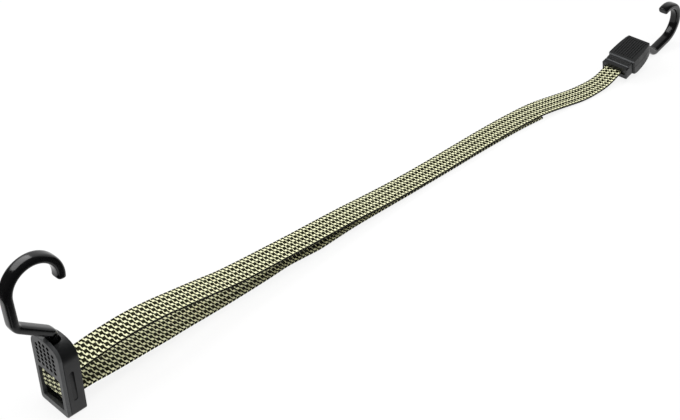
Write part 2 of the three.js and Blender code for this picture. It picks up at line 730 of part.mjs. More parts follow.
// What is hollowed out of the block: strap cavity, mouth, head pocket, pin sockets, and hook bores that flare at
// the nose so that the hook's bend turns clear of it
function housingHollow() {
  const halfWide = CAVITY_WIDTH / 2 + COLLAR_LIP_PROUD;
  const halfHigh = CAVITY_HEIGHT / 2;
  const cavity = box([CAVITY_START, -halfWide, -halfHigh], [CAVITY_END, halfWide, halfHigh]);
  const mouth = box(
    [HOUSING_START - 1, -COLLAR_NECK_WIDTH / 2 - GAP, -COLLAR_NECK_HEIGHT / 2 - GAP],
    [CAVITY_START + 1, COLLAR_NECK_WIDTH / 2 + GAP, COLLAR_NECK_HEIGHT / 2 + GAP],
  );
  const pocket = rod(
    [HEAD_POCKET_START, 0, 0],
    [NOSE_BRIDGE_START, 0, 0],
    WASHER_RADIUS + SWIVEL_CLEAR,
  );
  const coreBore = rod([HEAD_POCKET_START, 0, 0], [HOUSING_END, 0, 0], CORE_RADIUS + SWIVEL_CLEAR);
  const neckRadius = NECK_RADIUS + SWIVEL_CLEAR;
  const neckBore = rod([NOSE_BRIDGE_END, 0, 0], [HOUSING_END + 1, 0, 0], neckRadius);
  const flareStart = HOUSING_END - NOSE_FLARE_LENGTH;
  const flare = rod([flareStart, 0, 0], [HOUSING_END, 0, 0], neckRadius, ROUND_SIDES, NOSE_FLARE_RADIUS);
  const halfPin = halfWide + ANCHOR_PIN_SOCKET;
  const sockets = rod([ANCHOR_X, -halfPin, 0], [ANCHOR_X, halfPin, 0], ANCHOR_PIN_RADIUS + GAP / 2);
  return cavity.add(mouth).add(pocket).add(coreBore).add(neckBore).add(flare).add(sockets);
}

// Grip panel: shallow grooves along the upper cover between raised ribs
function gripGrooves() {
  const top = HOUSING_HEIGHT / 2;
  const width = HOUSING_NOSE_WIDTH - 2 * GRIP_BORDER + 3;
  const pitch = width / GRIP_RIBS;
  let grooves = null;
  for (let i = 0; i < GRIP_RIBS; i++) {
    const y = (i - (GRIP_RIBS - 1) / 2) * pitch;
    const groove = box(
      [HOUSING_START + GRIP_BORDER + 1, y - pitch / 4, top - GRIP_RIB_DEPTH],
      [HOUSING_END - GRIP_BORDER - 1, y + pitch / 4, top + 1],
    );
    grooves = grooves ? grooves.add(groove) : groove;
  }
  return grooves;
}

// Adjuster end
place(object, "adjuster_body", adjusterBody(), plastic(MOULDED_BLACK));
place(object, "adjuster_faceplate", faceplate(), plastic(MOULDED_BLACK));
const nearHook = swivelHook("near", NEAR_NECK, BRIDGE_THICK);
nearHook.position.set(0, 0, NEAR_BEND_Z);
object.add(nearHook);

// Strap
place(object, "strap_loop", strapLoop(), webbing());
place(object, "strap_run", strapStretch(RUN_POINTS, RUN_STEPS), webbing());
place(object, "strap_tail", strapStretch(TAIL_POINTS, TAIL_STEPS), webbing());

// Far end: the housing tilts up until the hook's elbow rests on the surface that the adjuster stands on
const elbowDrop = Math.min(
  ...hookLine(FAR_NECK).map(
    (point) => (FAR_BEND + point.x) * Math.sin(HOUSING_TILT) + point.y * Math.cos(HOUSING_TILT),
  ),
);
const [runEndX, runEndY] = RUN_POINTS[RUN_POINTS.length - 1];
const farEnd = new THREE.Group();
farEnd.position.set(runEndX + GAP, runEndY, BAR_THICK / 2 - elbowDrop);
farEnd.rotation.y = -HOUSING_TILT;
object.add(farEnd);

const shell = housingBlock().subtract(housingHollow());
const reach = 2 * HOUSING_WIDTH;
const above = box([0, -reach, GAP / 2], [HOUSING_END + 1, reach, reach]);
const below = box([0, -reach, -reach], [HOUSING_END + 1, reach, -GAP / 2]);
place(farEnd, "upper_cover", shell.intersect(above).subtract(gripGrooves()), plastic(MOULDED_BLACK));
place(farEnd, "lower_cover", shell.intersect(below), plastic(MOULDED_BLACK));
place(farEnd, "strap_collar", strapCollar(), plastic(MOULDED_BLACK));
place(farEnd, "strap_end", strapEnd(), webbing());
const halfPinLength = CAVITY_WIDTH / 2 + COLLAR_LIP_PROUD + ANCHOR_PIN_SOCKET - GAP;
place(
  farEnd,
  "anchor_pin",
  rod([ANCHOR_X, -halfPinLength, 0], [ANCHOR_X, halfPinLength, 0], ANCHOR_PIN_RADIUS),
  steel(),
);
const farHook = swivelHook("far", FAR_NECK, NOSE_BRIDGE_THICK);
farHook.position.set(FAR_BEND, 0, 0);
farHook.rotation.set(0, Math.PI / 2, Math.PI);
farEnd.add(farHook);

export default object;
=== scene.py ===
"""Looks of an adjustable flat bungee strap: woven webbing, moulded adjuster and housing, swivel hooks."""
import json
import math

import bmesh
import bpy
import numpy as np
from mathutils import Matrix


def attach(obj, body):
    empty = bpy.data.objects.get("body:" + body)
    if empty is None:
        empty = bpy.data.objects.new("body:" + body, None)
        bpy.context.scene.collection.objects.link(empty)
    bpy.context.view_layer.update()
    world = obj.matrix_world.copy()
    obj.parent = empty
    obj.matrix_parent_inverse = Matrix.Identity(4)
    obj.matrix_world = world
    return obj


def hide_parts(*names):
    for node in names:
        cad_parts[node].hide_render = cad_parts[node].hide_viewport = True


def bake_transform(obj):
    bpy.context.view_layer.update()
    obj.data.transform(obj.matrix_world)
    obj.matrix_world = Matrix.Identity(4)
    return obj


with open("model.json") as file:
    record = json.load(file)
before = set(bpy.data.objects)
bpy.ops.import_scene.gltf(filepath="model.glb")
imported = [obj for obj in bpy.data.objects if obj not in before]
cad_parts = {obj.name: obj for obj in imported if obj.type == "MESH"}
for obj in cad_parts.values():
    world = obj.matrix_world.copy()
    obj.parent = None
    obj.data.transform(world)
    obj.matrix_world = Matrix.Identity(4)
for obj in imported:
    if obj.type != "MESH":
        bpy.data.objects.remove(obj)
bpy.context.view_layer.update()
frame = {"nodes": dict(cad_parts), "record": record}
nodes = frame["nodes"]
bodies = frame["record"]["behaviour"]["bodies"]
body_of_node = {node: body for body, members in bodies.items() for node in members}

MM = 0.001
UP = np.array([0.0, 0.0, 1.0])

# Viewpoint of the photo: distances in metres, angles in degrees, lens and sensor in millimetres
CAMERA_PLACE = (-0.2572, -0.4791, 0.5220)
CAMERA_NEAREST = 0.01
CAMERA_PITCH_DOWN = 36.14
CAMERA_HEADING = 43.91
CAMERA_LENS = 63.41
CAMERA_SENSOR = 36.0

# Colours, as sRGB hex values; a pair gives the two tones that a material goes between
NYLON_TONES = ("0B0C0D", "131415")
# Painted light: the faceplate's tones are the body's black nylon made lighter, standing for the light on its
# face
PAINTED_LIGHT_PLATE_TONES = ("3A3B3C", "464748")
# Painted shade: near-black tones for the faces sunk in the faceplate's dimples
PAINTED_SHADE_TONES = ("040404", "080808")
# Painted highlight: paler tones for the light lines along the upper cover's front edge and the collar's
# flange
PAINTED_HIGHLIGHT_TONES = ("4A4B4D", "5E6062")
DARK_YARN_TONES = ("060600", "202004")
PALE_YARN_TONES = ("E2E2B0", "F5F5D4")
# Colour of the heat-sealed end, and of the run's -Y edge, where it is partly painted shade
DARK_RIM_AND_SHADE_COLOUR = "12120A"
COAT_COLOUR = "0A0A0B"
STEEL_COLOUR = "B4B6B8"
FLOOR_COLOUR = "F4F4F4"

# Webbing, in millimetres
STRAP_WIDTH = 20.0
STRAP_THICK = 2.2
STRAP_EDGE_RADIUS = 0.9
CORNER_POINTS = 16               # points on each rounded corner of its section
RIB_DEPTH = 0.16
CRIMP_DEPTH = 0.1
GIRTH_SAMPLES = 104
RING_SPACING = 0.62
ROUTE_STEPS = 40                 # points on its line for each stretch between two given points
PINCH_SHARE = 0.17               # how much narrower it is where the far collar gathers it
PINCH_LENGTH = 60.0
PINCH_SHIFT = 1.4                # how far its middle moves towards +Y there
SEALED_RIM = 1.6                 # the dark rim at the tail's heat-sealed end
SEAL_FADE = 0.4                  # from the weave to the full dark of that rim
EDGE_SHADE_FACING = (0.45, 0.65)   # how squarely the edge faces -Y where its dark, part painted shade, starts and is full

# Weave, in millimetres and in shares of a pair of rows or of a block
PAIRS_PER_FACE = 4               # pairs of a black and a pale row across each face
PAIR_PITCH = 5.15
FIRST_PAIR = 0.23                # how much of the first pair lies past the +Y edge
BLACK_SHARE = 0.63               # how much of a pair its black row takes
CHECK_LENGTH = 3.46              # one block of a row and the tie beside it
PAIR_STEP = 0.5                  # how far the ties move along from one pair to the next, in blocks
THREADS_PER_PAIR = 8
STRAY_FIBRE = 0.12               # how far loose fibres blur a row or a tie

# Ties across the rows, in blocks: place in the middle of the row, lean across it, width
PALE_TIE = (0.0, -0.12, 0.2)
DARK_TIE = (0.67, 0.06, 0.44)

# Adjuster and its web, in millimetres
LOOP_TOP_Z = 27.4
LOOP_BOTTOM_Z = 11.8
LOOP_FRONT_X = -4.8
LOOP_RADIUS = 3.0
LOOP_JOIN_X = 0.6
JOIN_GAP = 0.2
PLATE_FRONT_X = -6.9
PLATE_BACK_X = -4.5
PLATE_BACK_CLEAR = 0.1             # how far before the plate's back a point counts as part of a dimple
DIMPLE_SUNK = 0.2                  # how far behind the plate's front a face counts as sunk
DIMPLE_FIELD = (9.6, 32.0, 52.0)   # half its width, its lower and its upper height
DIMPLE_RADIUS = 1.15
DIMPLE_RIM = 0.05                  # how far past that radius a point still belongs to the dimple
DIMPLE_OPENING = 1.22              # how much wider the dimples are opened than in the solid
DIMPLE_COLUMN_PITCH = 4.0
DIMPLE_ROW_PITCH = 3.32
DIMPLES_IN_COLUMN = (5, 6, 6, 6, 5)
DIMPLE_FIELD_BOTTOM = 33.6

# Hook in its own plane, in millimetres and degrees: u along the shank, v across it
NECK_RADIUS = 3.3
BAR_THICK = 5.8
BAR_WIDTH = 8.6
BAR_START = -2.4                   # where along u the round neck starts to flatten
BAR_BLEND = 3.0                    # the length over which it does
BAR_SQUARENESS = 3.5               # power of the bar's superellipse, where 2 is round
LEG_RISE = 17.7
LEG_REACH = 22.7
CROOK_RADIUS = 17.35
CROOK_RISE = 38.4
CROOK_OFFSET = 6.0
CROOK_SWEEP = 190.0
NECK_FILLET = 5.0
ELBOW_FILLET = 7.0
TIP_EASE = 1.2                     # radius of the rounded tip
TIP_RINGS = 6
NEAR_NECK = 16.0
NEAR_BEND_Z = 57.3
FAR_NECK = 6.4
FAR_BEND = 39.7
HOOK_SIDES = 48
HOOK_STEP = 0.6
ARC_STEP = 4.0                     # degrees between the points of an arc

# Far housing, in millimetres and degrees; lengths along it start at the collar's mouth
MOUTH = np.array([562.3, -20.0, 8.306])
HOUSING_TILT = 16.0
RUN_INTO_COLLAR = 2.0
END_START = 2.3                    # where the webbing's end takes over from the run
END_RAMP = 13.6                    # where it starts to rise over the anchor pin
END_ON_PIN = 100.0                 # the angle round the pin, from the housing's axis, where it comes onto it
END_TUCK = 4.0                     # how far it comes back under the pin
ANCHOR_X = 19.6
ANCHOR_RADIUS = 3.0
FLANGE_RIM = (3.7, 4.6)            # the strip on the collar's flange that gets a painted highlight
FLANGE_TOP = 5.2
FLANGE_TOP_CLEAR = 0.1             # how far below that a face still counts as the flange's top
HIGHLIGHT_FACING = 0.98               # how squarely a face with a painted highlight looks its way, as a cosine

# Moulded edges, in millimetres and degrees: how wide each moulding's are rounded, and how they are found
EDGE_ROUNDING = {"adjuster_body": 0.35, "adjuster_faceplate": 0.2, "upper_cover": 0.5, "lower_cover": 0.6,
                 "strap_collar": 0.9}
MERGE_DISTANCE = 0.001
FLAT_ANGLE = 0.5                   # faces that turn less than this are joined into one
SHARP_ANGLE = 38.0                 # edges that turn more than this are rounded
ROUNDING_SEGMENTS = 3

# Studio, in metres
FLOOR_HALF = 6.0
FLOOR_Z = -0.0002
FLOOR_WHITE_SHARE = 0.86           # what the camera sees of the floor as plain white; the rest is lit paper
FLOOR_SIDE_FADE = (-0.1, -0.075)   # where along y the floor that glossy faces see turns from dim to white
FLOOR_FRONT_FADE = (-0.115, -0.085)   # and where along x
FLOOR_DIM = 0.06
WORLD_LIGHT = 0.45                 # strength of the even light that the surroundings give the object
DARK_ROOM = (-0.75, -0.55, 0.37)   # the direction of the dark side of the room that glossy faces see
DARK_ROOM_FADE = (-0.45, -0.05)    # from white to dark, as cosines of the angle to that direction
DARK_ROOM_LEVEL = 0.1
SOFTBOX_AIM = (0.6, -0.01, 0.06)   # the share of the lamp's own x, then the y and z of the point it looks at

# Softboxes: place and size in metres, watts, and whether glossy faces mirror them
SOFTBOXES = {
    "key_softbox": ((0.0, 0.58, 0.82), (0.9, 0.45), 5.7, True),
    "top_softbox": ((0.4, -0.2, 1.3), (1.0, 1.0), 11.0, False),
}

# Centre lines of the free stretches of webbing, in metres
RUN_POINTS = [
    (0.0102, 0, 0.0274), (0.020, 0, 0.0284), (0.036, 0, 0.0298), (0.055, 0, 0.030), (0.072, 0, 0.0286),
    (0.092, 0, 0.0255), (0.112, 0, 0.0222), (0.132, 0, 0.0186), (0.152, 0, 0.0165), (0.175, 0, 0.0146),
    (0.200, 0, 0.0126), (0.225, 0, 0.011), (0.250, 0, 0.0092), (0.275, -0.0002, 0.007),
    (0.300, -0.0005, 0.0053), (0.325, -0.0009, 0.0044), (0.350, -0.0013, 0.0041), (0.380, -0.0018, 0.004),
    (0.410, -0.0024, 0.004), (0.440, -0.0038, 0.004), (0.467, -0.0064, 0.004), (0.482, -0.0086, 0.0032),
    (0.498, -0.0116, 0.0022), (0.515, -0.0152, 0.0016), (0.530, -0.0178, 0.0021), (0.542, -0.0194, 0.0032),
    (0.5512, -0.020, 0.00512), (0.562, -0.020, 0.00822),
]
TAIL_POINTS = [
    (0.0102, 0, 0.0118), (0.018, 0, 0.0116), (0.030, 0, 0.0106), (0.045, 0.0006, 0.0092),
    (0.060, 0.0016, 0.0076), (0.075, 0.0024, 0.006), (0.092, 0.0038, 0.0042), (0.112, 0.0048, 0.0024),
    (0.135, 0.0052, 0.0014), (0.165, 0.0052, 0.0013), (0.185, 0.0056, 0.0013), (0.200, 0.0044, 0.0013),
    (0.214, 0.003, 0.0013), (0.230, 0.0032, 0.0013), (0.250, 0.0034, 0.0013), (0.280, 0.0024, 0.0013),
    (0.310, 0.0012, 0.0013), (0.350, 0, 0.0013), (0.400, -0.0014, 0.0013), (0.440, -0.0036, 0.0013),
    (0.466, -0.0062, 0.0013),
]


def placed(name, data):
    """A new object with that data, linked into the scene at the origin."""
    thing = bpy.data.objects.new(name, data)
    bpy.context.collection.objects.link(thing)
    return thing


def photo_camera():
    """The camera that took the photo, aimed by its heading from +X towards +Y and its pitch below level."""
    lens = bpy.data.cameras.new("photo_camera")
    lens.lens = CAMERA_LENS
    lens.sensor_width = CAMERA_SENSOR
    lens.clip_start = CAMERA_NEAREST
    camera = placed("photo_camera", lens)
    camera.location = CAMERA_PLACE
    camera.rotation_euler = (math.radians(90 - CAMERA_PITCH_DOWN), 0, math.radians(CAMERA_HEADING - 90))
    bpy.context.scene.camera = camera


photo_camera()


# Materials

def linear(hex_colour):
    """A linear RGBA colour from an sRGB hex value such as 1C1D1F, by the sRGB curve."""
    parts = [int(hex_colour[i:i + 2], 16) / 255 for i in (0, 2, 4)]
    return tuple(c / 12.92 if c <= 0.04045 else ((c + 0.055) / 1.055) ** 2.4 for c in parts) + (1.0,)


def add(tree, kind, sockets=None, **settings):
    """One node of that kind with its settings. Given a socket, an input is linked to it; else it gets the
    value."""
    node = tree.nodes.new(kind)
    for key, value in settings.items():
        setattr(node, key, value)
    for key, value in (sockets or {}).items():
        if isinstance(value, bpy.types.NodeSocket):
            tree.links.new(value, node.inputs[key])
        else:
            node.inputs[key].default_value = value
    return node


def noise(tree, place, size, detail):
    """Noise from 0 to 1 whose largest patches are about the given size in millimetres."""
    sockets = {"Vector": place, "Scale": 1 / (size * MM), "Detail": detail}
    return add(tree, "ShaderNodeTexNoise", sockets).outputs["Fac"]


def remap(tree, value, start, end, low, high, **settings):
    """The value carried from the range start to end into the range low to high."""
    sockets = {0: value, 1: start, 2: end, 3: low, 4: high}
    return add(tree, "ShaderNodeMapRange", sockets, **settings).outputs[0]


def mix_colours(tree, share, first, second):
    """Two colours blended by the share of the second. The mix node takes colours in its inputs 6 and 7."""
    return add(tree, "ShaderNodeMix", {0: share, 6: first, 7: second}, data_type="RGBA").outputs[2]


def mix_values(tree, share, first, second):
    """Two values blended by the share of the second. The mix node takes values in its inputs 2 and 3."""
    return add(tree, "ShaderNodeMix", {0: share, 2: first, 3: second}, data_type="FLOAT").outputs[0]


def compute(tree, operation, first, second=0.0, third=0.0):
    """The result of one math node."""
    return add(tree, "ShaderNodeMath", {0: first, 1: second, 2: third}, operation=operation).outputs[0]


def raise_surface(tree, shader, height, strength, depth):
    """Bends the shader's normal by a height map that stands for the given depth in millimetres."""
    bump = add(tree, "ShaderNodeBump", {"Height": height, "Strength": strength, "Distance": depth * MM})
    tree.links.new(bump.outputs[0], shader.inputs["Normal"])


def surface(name):
    """A new material with its node tree and its principled shader."""
    material = bpy.data.materials.new(name)
    material.use_nodes = True
    tree = material.node_tree
    return material, tree, tree.nodes["Principled BSDF"]


def moulded_nylon(name, tones):
    """Glass-filled nylon from a spark-eroded mould: satin, with a fine grain, and faint flow marks that
    shift its sheen and its tone between the two given."""
    material, tree, shader = surface(name)
    place = add(tree, "ShaderNodeTexCoord").outputs["Object"]
    flow = noise(tree, place, size=9, detail=3.0)
    tone = mix_colours(tree, flow, linear(tones[0]), linear(tones[1]))
    tree.links.new(tone, shader.inputs["Base Color"])
    roughness = remap(tree, flow, start=0.3, end=0.7, low=0.36, high=0.5)
    tree.links.new(roughness, shader.inputs["Roughness"])
    grain = noise(tree, place, size=0.45, detail=4.0)
    raise_surface(tree, shader, grain, strength=0.16, depth=0.12)
    shader.inputs["Specular IOR Level"].default_value = 0.4
    return material


def hook_coat():
    """Glossy moulded polymer over steel wire: near-black and smooth, with a slight ripple that bends its
    highlights and small scuffs that dull them."""
    material, tree, shader = surface("moulded_coat_gloss_black")
    place = add(tree, "ShaderNodeTexCoord").outputs["Object"]
    scuff = noise(tree, place, size=1.2, detail=5.0)
    roughness = remap(tree, scuff, start=0.35, end=0.75, low=0.12, high=0.22)
    tree.links.new(roughness, shader.inputs["Roughness"])
    ripple = noise(tree, place, size=4, detail=2.0)
    raise_surface(tree, shader, ripple, strength=0.25, depth=0.15)
    shader.inputs["Base Color"].default_value = linear(COAT_COLOUR)
    shader.inputs["Specular IOR Level"].default_value = 0.32
    return material


def zinc_steel():
    """Zinc-plated steel wire and pressings: pale grey metal with a fine mottle in its sheen."""
    material, tree, shader = surface("zinc_plated_steel")
    place = add(tree, "ShaderNodeTexCoord").outputs["Object"]
    mottle = noise(tree, place, size=0.6, detail=3.0)
    roughness = remap(tree, mottle, start=0.0, end=1.0, low=0.25, high=0.45)
    tree.links.new(roughness, shader.inputs["Roughness"])
    shader.inputs["Base Color"].default_value = linear(STEEL_COLOUR)
    shader.inputs["Metallic"].default_value = 1.0
    return material


def elastic_webbing():
    """Woven elastic webbing: black and pale rows of warp run along it, and slanting ties of weft in the
    other colour cross them, so each row shows as a line of blocks. The yarns' rounded backs and loose
    fibres roughen the surface. Its heat-sealed end is dark, and so is its -Y edge: black selvedge with
    painted shade."""
    material, tree, shader = surface("woven_elastic_check")

    def of(operation, *terms):
        """The result of one math node in this material."""
        return compute(tree, operation, *terms)

    place = add(tree, "ShaderNodeTexCoord").outputs["Object"]
    fuzz = noise(tree, place, size=0.5, detail=3.0)
    stray = of("MULTIPLY_ADD", fuzz, STRAY_FIBRE, -STRAY_FIBRE / 2)
    weave = add(tree, "ShaderNodeUVMap", uv_map="weave").outputs[0]
    split = add(tree, "ShaderNodeSeparateXYZ", {0: weave}).outputs
    pairs = of("ADD", split[1], stray)
    pair = of("FLOOR", pairs)
    row = of("SUBTRACT", pairs, pair)
    pale_row = of("GREATER_THAN", row, BLACK_SHARE)
    along = of("ADD", of("MULTIPLY_ADD", pair, -PAIR_STEP, split[0]), stray)

    def inside_tie(tie, middle, share):
        """Whether the point lies in a tie, in rows with that middle and that share of a pair."""
        middle_of_tie = of("MULTIPLY_ADD", of("SUBTRACT", row, middle), tie[1] / share, tie[0] + 0.5)
        aside = of("SUBTRACT", of("FRACT", of("SUBTRACT", along, middle_of_tie)), 0.5)
        return of("LESS_THAN", of("ABSOLUTE", aside), tie[2] / 2)

    pale_tie = inside_tie(PALE_TIE, BLACK_SHARE / 2, BLACK_SHARE)
    dark_tie = inside_tie(DARK_TIE, (1 + BLACK_SHARE) / 2, 1 - BLACK_SHARE)
    tie = mix_values(tree, pale_row, pale_tie, dark_tie)
    pale = of("ABSOLUTE", of("SUBTRACT", pale_row, tie))
    dark_yarn = mix_colours(tree, fuzz, linear(DARK_YARN_TONES[0]), linear(DARK_YARN_TONES[1]))
    pale_yarn = mix_colours(tree, fuzz, linear(PALE_YARN_TONES[0]), linear(PALE_YARN_TONES[1]))
    woven = mix_colours(tree, pale, dark_yarn, pale_yarn)
    # Darkens the heat-sealed end, and the run's -Y edge, where the dark is partly painted shade
    rim_and_shade = add(tree, "ShaderNodeAttribute", attribute_name="sealed_rim_and_edge_shade").outputs["Fac"]
    colour = mix_colours(tree, rim_and_shade, woven, linear(DARK_RIM_AND_SHADE_COLOUR))
    tree.links.new(colour, shader.inputs["Base Color"])
    warp = of("PINGPONG", of("MULTIPLY", row, float(THREADS_PER_PAIR)), 0.5)
    weft = of("PINGPONG", of("MULTIPLY", along, float(THREADS_PER_PAIR)), 0.5)
    backs = mix_values(tree, tie, warp, weft)
    relief = of("ADD", of("POWER", backs, 0.5), stray)
    raise_surface(tree, shader, relief, strength=0.7, depth=0.2)
    shader.inputs["Roughness"].default_value = 0.82
    shader.inputs["Specular IOR Level"].default_value = 0.2
    return material


NYLON = moulded_nylon("moulded_nylon_black", NYLON_TONES)
# The faceplate's nylon, painted lighter as painted light on its face
PAINTED_LIGHT_PLATE_NYLON = moulded_nylon("moulded_nylon_painted_light", PAINTED_LIGHT_PLATE_TONES)
# Painted shade for the faces sunk in the dimples
PAINTED_SHADE_NYLON = moulded_nylon("moulded_nylon_painted_shade", PAINTED_SHADE_TONES)
# Painted highlight for the light lines along the covers' edges
PAINTED_HIGHLIGHT_NYLON = moulded_nylon("moulded_nylon_painted_highlight", PAINTED_HIGHLIGHT_TONES)
COAT = hook_coat()
STEEL = zinc_steel()
WEBBING = elastic_webbing()


# Shapes

def running_length(line):
    """How far along the line each of its points lies."""
    return np.concatenate([[0], np.cumsum(np.linalg.norm(np.diff(line, axis=0), axis=1))])


def at_lengths(line, stops):
    """The points of the line at the given lengths along it."""
    run = running_length(line)
    return np.stack([np.interp(stops, run, line[:, axis]) for axis in range(line.shape[1])], axis=1)


def even_steps(line, spacing):
    """The same line cut into equal steps of about the given spacing, by its running length."""
    whole = running_length(line)[-1]
    return at_lengths(line, np.linspace(0, whole, max(2, int(round(whole / spacing)) + 1)))


def smooth_route(points):
    """A centripetal Catmull-Rom line through the points: each stretch is a cubic whose end slopes come from
    its neighbours, weighted by the square roots of the gaps between the points."""
    p = np.array(points, float)
    p = np.vstack([2 * p[0] - p[1], p, 2 * p[-1] - p[-2]])
    gap = np.sqrt(np.linalg.norm(np.diff(p, axis=0), axis=1))[:, None]
    p0, p1, p2, p3 = p[:-3], p[1:-2], p[2:-1], p[3:]
    g0, g1, g2 = gap[:-2], gap[1:-1], gap[2:]
    slope1 = g1 * ((p1 - p0) / g0 - (p2 - p0) / (g0 + g1) + (p2 - p1) / g1)
    slope2 = g1 * ((p2 - p1) / g1 - (p3 - p1) / (g1 + g2) + (p3 - p2) / g2)
    t = np.linspace(0, 1, ROUTE_STEPS, endpoint=False)[None, :, None]
    cubic = ((2 * t**3 - 3 * t**2 + 1) * p1[:, None] + (t**3 - 2 * t**2 + t) * slope1[:, None]
             + (3 * t**2 - 2 * t**3) * p2[:, None] + (t**3 - t**2) * slope2[:, None])
    return np.vstack([cubic.reshape(-1, 3), p2[-1:]])


def unit(vectors):
    """Each vector at length one."""
    return vectors / np.linalg.norm(vectors, axis=-1, keepdims=True)


def arc(centre, radius, start, end):
    """Points on a circle in a plane, from one angle to another in degrees."""
    angles = np.radians(np.linspace(start, end, max(4, int(abs(end - start) / ARC_STEP))))
    return np.stack([centre[0] + radius * np.cos(angles), centre[1] + radius * np.sin(angles)], 1)


def tube_mesh(name, grid, weave=None):
    """A closed tube from a grid of points, rings along its first side and each ring's points round its
    second, with a flat face over each end. weave gives each ring's and each point's place in the woven
    pattern, and the place where the points close."""
    rings, sides = grid.shape[:2]
    ring, side = np.meshgrid(np.arange(rings - 1), np.arange(sides), indexing="ij")
    following = (side + 1) % sides
    quads = np.stack([ring * sides + side, ring * sides + following,
                      (ring + 1) * sides + following, (ring + 1) * sides + side], axis=-1).reshape(-1, 4)
    caps = [list(range(sides - 1, -1, -1)), list(range((rings - 1) * sides, rings * sides))]
    mesh = bpy.data.meshes.new(name)
    mesh.from_pydata(grid.reshape(-1, 3).tolist(), [], quads.tolist() + caps)
    smooth = np.ones(len(mesh.polygons), bool)
    smooth[-2:] = False
    mesh.polygons.foreach_set("use_smooth", smooth)
    if weave is not None:
        along, wide = weave
        across = wide[:-1]
        corners = ((ring, side), (ring, side + 1), (ring + 1, side + 1), (ring + 1, side))
        uv = np.stack([np.stack([along[i], wide[j]], -1) for i, j in corners], axis=2).reshape(-1, 2)
        ends = np.concatenate([np.stack([np.full(sides, along[0]), across[::-1]], -1),
                               np.stack([np.full(sides, along[-1]), across], -1)])
        layer = mesh.uv_layers.new(name="weave")
        layer.data.foreach_set("uv", np.vstack([uv, ends]).astype(np.float32).ravel())
    mesh.validate()
    return placed(name, mesh)


# Webbing: the run to the far housing, the turn round the adjuster's web with its tail, the end in the housing

def webbing_section():
    """The webbing's section as points at equal steps round its girth, with their outward directions: a flat
    band with rounded edges."""
    wide, high, radius = STRAP_WIDTH / 2, STRAP_THICK / 2, STRAP_EDGE_RADIUS
    turn = np.radians(np.linspace(0, 90, CORNER_POINTS))
    corners = [(wide - radius, -(high - radius), -90), (wide - radius, high - radius, 0),
               (-(wide - radius), high - radius, 90), (-(wide - radius), -(high - radius), 180)]
    outline = np.vstack([np.stack([x + radius * np.cos(turn + math.radians(a)),
                                   y + radius * np.sin(turn + math.radians(a))], 1) for x, y, a in corners])
    closed = np.vstack([outline, outline[:1]])
    points = at_lengths(closed, np.arange(GIRTH_SAMPLES) / GIRTH_SAMPLES * running_length(closed)[-1])
    forward = unit(np.roll(points, -1, axis=0) - np.roll(points, 1, axis=0))
    return points, np.stack([forward[:, 1], -forward[:, 0]], 1)


def pair_places(points):
    """Each point's place among the pairs of rows: across the upper face from its +Y edge, then back under
    it. The section starts under the +Y edge, so its first points lie a little before the first pair."""
    upper = (STRAP_WIDTH / 2 - points[:, 0]) / PAIR_PITCH
    under = np.where(np.arange(len(points)) < len(points) / 2, -upper, 2 * PAIRS_PER_FACE - upper)
    return np.where(points[:, 1] >= 0, upper, under) + FIRST_PAIR


def strap_frame(line):
    """Along, across and face directions of a strap at each point of its line: across stays level and on the
    +Y side, and the face is square to both."""
    along = unit(np.gradient(line, axis=0))
    sense = np.where(along[:, 0] < 0, -1.0, 1.0)
    # The added millionth keeps across on the +Y side where the strap runs straight up or down
    across = unit(np.stack([-along[:, 1] * sense, np.abs(along[:, 0]) + 1e-6, np.zeros(len(line))], 1))
    return along, across, np.cross(along, across)


def strap_piece(name, line, sealed=0.0, pinched=False):
    """Webbing carried along a line in metres: its section, pressed in between its rows by a cosine round
    the girth and along its ties by a cosine along its length. Its end can be heat-sealed to a dark rim of
    the given millimetres, or pinched narrower by a smooth step over the last stretch; pinched webbing gets
    a dark -Y edge, its black selvedge with painted shade along it."""
    line = even_steps(line, RING_SPACING * MM)
    length = running_length(line)
    along, across, face = strap_frame(line)
    points, outward = webbing_section()
    checks = length / MM / CHECK_LENGTH
    pairs = pair_places(points)
    ribs = -RIB_DEPTH * 0.5 * (np.cos(4 * math.pi * pairs) + 1)
    ties = checks[:, None] - PAIR_STEP * (pairs[None, :] - BLACK_SHARE / 2)
    press = ribs[None, :] - CRIMP_DEPTH * 0.5 * (np.cos(2 * math.pi * ties) + 1)
    gather = np.zeros((len(line), 1))
    if pinched:
        gather = np.clip((length - length[-1]) / (PINCH_LENGTH * MM) + 1, 0, 1)[:, None]
        gather = gather**2 * (3 - 2 * gather)
    gathered = points[None, :, 0] * (1 - PINCH_SHARE * gather) + PINCH_SHIFT * gather
    sideways = (gathered + press * outward[None, :, 0]) * MM
    upwards = (points[None, :, 1] + press * outward[None, :, 1]) * MM
    grid = line[:, None] + across[:, None] * sideways[..., None] + face[:, None] * upwards[..., None]
    piece = tube_mesh(name, grid, (checks, np.append(pairs, pairs[0] + 2 * PAIRS_PER_FACE)))
    dark = np.zeros((len(line), GIRTH_SAMPLES))
    if sealed:
        dark += np.clip((length - length[-1] + sealed * MM) / (SEAL_FADE * MM), 0, 1)[:, None]
    # Painted shade, with the black selvedge: the -Y edge darkened along the whole run
    if pinched:
        start, full = EDGE_SHADE_FACING
        dark += np.clip((-outward[:, 0] - start) / (full - start), 0, 1)[None, :]
    layer = piece.data.attributes.new("sealed_rim_and_edge_shade", "FLOAT", "POINT")
    layer.data.foreach_set("value", dark.astype(np.float32).ravel())
    piece.data.materials.append(WEBBING)
    return piece, line


tilt = math.radians(HOUSING_TILT)
housing_along = np.array([math.cos(tilt), 0, math.sin(tilt)])
housing_up = np.array([-math.sin(tilt), 0, math.cos(tilt)])


